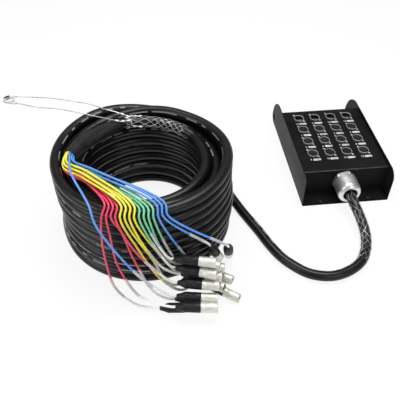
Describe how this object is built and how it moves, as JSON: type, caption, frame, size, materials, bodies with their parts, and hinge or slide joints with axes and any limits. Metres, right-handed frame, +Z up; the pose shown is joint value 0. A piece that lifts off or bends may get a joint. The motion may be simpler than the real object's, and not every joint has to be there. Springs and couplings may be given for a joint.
{
  "type": "stage box snake",
  "caption": "Steel stage box with rows of round audio sockets, a wound multicore cable and coloured fan-out leads that end in inline plugs.",
  "frame": {"origin": "on the floor, under the middle of the box with its gland", "axes": "+Z up, -Y out of the gland at the box's front, +X to the box's right; the cable lies towards -X"},
  "size_m": [0.8167, 0.6, 0.2175],
  "materials": {
    "powder_coat": "satin black powder coat on folded steel",
    "screw_zinc": "bright zinc-plated screws",
    "socket_black": "black socket bodies with grey rims",
    "latch_black": "black press tabs",
    "gland_nickel": "bright nickel plate",
    "seal_rubber": "black sealing ring",
    "loom": "sleeved wiring",
    "cable_jacket": "black jacket with a soft sheen",
    "steel_wire": "galvanised wire",
    "thimble": "dark eye liner",
    "boot": "matt heat-shrunk boot",
    "lead_red": "red lead jacket",
    "lead_yellow": "yellow lead jacket",
    "lead_green": "green lead jacket",
    "lead_blue": "blue lead jacket",
    "plug_shell": "black rear body with a nickel shell in front"
  },
  "bodies": {
    "snake": {"chassis": "powder_coat", "cover": "powder_coat", "cover_screw_front_left": "screw_zinc", "cover_screw_rear_left": "screw_zinc", "cover_screw_front_right": "screw_zinc", "cover_screw_rear_right": "screw_zinc", "return_socket_a": "socket_black", "return_socket_b": "socket_black", "return_socket_c": "socket_black", "return_socket_d": "socket_black", "send_sockets_row_1": "socket_black", "send_sockets_row_2": "socket_black", "send_sockets_row_3": "socket_black", "gland_body": "gland_nickel", "gland_dome_nut": "gland_nickel", "gland_seal": "seal_rubber", "gland_locknut": "gland_nickel", "wiring_loom": "loom", "cable_run": "cable_jacket", "cable_coil": "cable_jacket", "cable_end": "cable_jacket", "box_grip_mesh": "steel_wire", "pull_grip_mesh": "steel_wire", "pull_wire": "steel_wire", "pull_eye": "thimble", "breakout_boot": "boot", "leads_red": "lead_red", "leads_yellow": "lead_yellow", "leads_green": "lead_green", "leads_blue": "lead_blue", "lead_blue_1": "lead_blue", "plug_red_1": "plug_shell", "plug_red_2": "plug_shell", "plug_red_3": "plug_shell", "plug_red_4": "plug_shell", "plug_yellow_1": "plug_shell", "plug_yellow_2": "plug_shell", "plug_yellow_3": "plug_shell", "plug_yellow_4": "plug_shell", "plug_green_1": "plug_shell", "plug_green_2": "plug_shell", "plug_green_3": "plug_shell", "plug_green_4": "plug_shell", "plug_blue_1": "plug_shell", "plug_blue_2": "plug_shell", "plug_blue_3": "plug_shell", "plug_blue_4": "plug_shell"},
    "latch_tab_1": {"latch_tab_1": "latch_black"},
    "latch_tab_2": {"latch_tab_2": "latch_black"},
    "latch_tab_3": {"latch_tab_3": "latch_black"},
    "latch_tab_4": {"latch_tab_4": "latch_black"},
    "latch_tab_5": {"latch_tab_5": "latch_black"},
    "latch_tab_6": {"latch_tab_6": "latch_black"},
    "latch_tab_7": {"latch_tab_7": "latch_black"},
    "latch_tab_8": {"latch_tab_8": "latch_black"},
    "latch_tab_9": {"latch_tab_9": "latch_black"},
    "latch_tab_10": {"latch_tab_10": "latch_black"},
    "latch_tab_11": {"latch_tab_11": "latch_black"},
    "latch_tab_12": {"latch_tab_12": "latch_black"}
  },
  "joints": [
    {"name": "press_latch_tab_1", "type": "slide", "parent": "snake", "child": "latch_tab_1", "axis": [0, 0, -1], "range_m": [0, 0.0015], "stiffness_N_per_m": 600},
    {"name": "press_latch_tab_2", "type": "slide", "parent": "snake", "child": "latch_tab_2", "axis": [0, 0, -1], "range_m": [0, 0.0015], "stiffness_N_per_m": 600},
    {"name": "press_latch_tab_3", "type": "slide", "parent": "snake", "child": "latch_tab_3", "axis": [0, 0, -1], "range_m": [0, 0.0015], "stiffness_N_per_m": 600},
    {"name": "press_latch_tab_4", "type": "slide", "parent": "snake", "child": "latch_tab_4", "axis": [0, 0, -1], "range_m": [0, 0.0015], "stiffness_N_per_m": 600},
    {"name": "press_latch_tab_5", "type": "slide", "parent": "snake", "child": "latch_tab_5", "axis": [0, 0, -1], "range_m": [0, 0.0015], "stiffness_N_per_m": 600},
    {"name": "press_latch_tab_6", "type": "slide", "parent": "snake", "child": "latch_tab_6", "axis": [0, 0, -1], "range_m": [0, 0.0015], "stiffness_N_per_m": 600},
    {"name": "press_latch_tab_7", "type": "slide", "parent": "snake", "child": "latch_tab_7", "axis": [0, 0, -1], "range_m": [0, 0.0015], "stiffness_N_per_m": 600},
    {"name": "press_latch_tab_8", "type": "slide", "parent": "snake", "child": "latch_tab_8", "axis": [0, 0, -1], "range_m": [0, 0.0015], "stiffness_N_per_m": 600},
    {"name": "press_latch_tab_9", "type": "slide", "parent": "snake", "child": "latch_tab_9", "axis": [0, 0, -1], "range_m": [0, 0.0015], "stiffness_N_per_m": 600},
    {"name": "press_latch_tab_10", "type": "slide", "parent": "snake", "child": "latch_tab_10", "axis": [0, 0, -1], "range_m": [0, 0.0015], "stiffness_N_per_m": 600},
    {"name": "press_latch_tab_11", "type": "slide", "parent": "snake", "child": "latch_tab_11", "axis": [0, 0, -1], "range_m": [0, 0.0015], "stiffness_N_per_m": 600},
    {"name": "press_latch_tab_12", "type": "slide", "parent": "snake", "child": "latch_tab_12", "axis": [0, 0, -1], "range_m": [0, 0.0015], "stiffness_N_per_m": 600}
  ]
}
